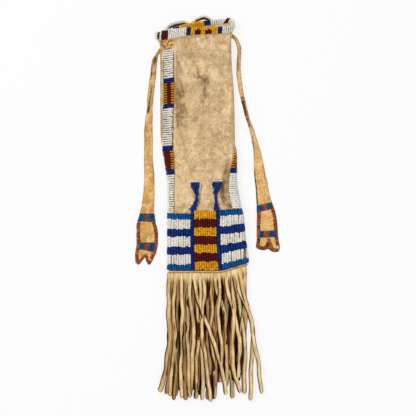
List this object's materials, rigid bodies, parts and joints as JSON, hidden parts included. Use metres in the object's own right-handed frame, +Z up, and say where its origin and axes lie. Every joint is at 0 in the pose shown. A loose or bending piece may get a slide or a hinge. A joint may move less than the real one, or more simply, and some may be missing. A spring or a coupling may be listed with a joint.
{
  "type": "pipe bag",
  "caption": "Long flat hide pouch with a rolled beaded mouth, beaded side strips and bottom panel, two tie thongs and a hide fringe.",
  "frame": {"origin": "on the surface that the bag lies on, at the middle of the flat part of the pouch's back that rests there", "axes": "+Y from the fringe towards the mouth, +X to the right of someone who looks at the beaded front, +Z up from the surface, out of the beaded front"},
  "size_m": [0.1573, 0.4237, 0.0209],
  "materials": {
    "hide": "soft smoke-tanned hide, matt suede",
    "thong": "soft tanned hide, matt suede",
    "beads_white": "opaque glass beads",
    "beads_blue": "opaque glass beads",
    "beads_light_blue": "opaque glass beads",
    "beads_maroon": "opaque glass beads",
    "beads_yellow": "opaque glass beads"
  },
  "bodies": {
    "root": {"pouch_hide": "hide", "seam_welt": "hide", "fringe_front": "hide", "fringe_back": "hide", "tie_left": "thong", "tie_right": "thong", "hanging_thong": "thong", "side_band_1": "beads_light_blue", "side_band_2": "beads_white", "side_band_3": "beads_blue", "side_band_4": "beads_white", "side_band_5": "beads_blue", "side_band_6": "beads_white", "side_band_7": "beads_light_blue", "centre_band_1": "beads_yellow", "centre_band_2": "beads_maroon", "centre_band_3": "beads_yellow", "centre_band_4": "beads_maroon", "centre_band_5": "beads_yellow", "centre_band_6": "beads_maroon", "centre_band_7": "beads_yellow", "figure_left": "beads_blue", "figure_right": "beads_blue", "strip_left_1": "beads_white", "strip_left_2": "beads_blue", "strip_left_3": "beads_yellow", "strip_left_3_bar": "beads_maroon", "strip_left_4": "beads_blue", "strip_left_5": "beads_white", "strip_left_6": "beads_blue", "strip_left_7": "beads_yellow", "strip_left_7_bar": "beads_maroon", "strip_left_8": "beads_blue", "strip_left_9": "beads_white", "strip_right_1": "beads_white", "strip_right_2": "beads_blue", "strip_right_3": "beads_yellow", "strip_right_3_bar": "beads_maroon", "strip_right_4": "beads_blue", "strip_right_5": "beads_white", "strip_right_6": "beads_blue", "strip_right_7": "beads_yellow", "strip_right_7_bar": "beads_maroon", "strip_right_8": "beads_blue", "strip_right_9": "beads_white", "rim_01_maroon": "beads_maroon", "rim_02_white": "beads_white", "rim_03_blue": "beads_blue", "rim_04_yellow": "beads_yellow", "rim_05_blue": "beads_blue", "rim_06_white": "beads_white", "rim_07_maroon": "beads_maroon", "rim_08_white": "beads_white", "rim_09_blue": "beads_blue", "rim_10_yellow": "beads_yellow", "rim_11_blue": "beads_blue", "rim_12_white": "beads_white", "rim_figure_1": "beads_maroon", "rim_figure_2": "beads_maroon"}
  },
  "joints": []
}
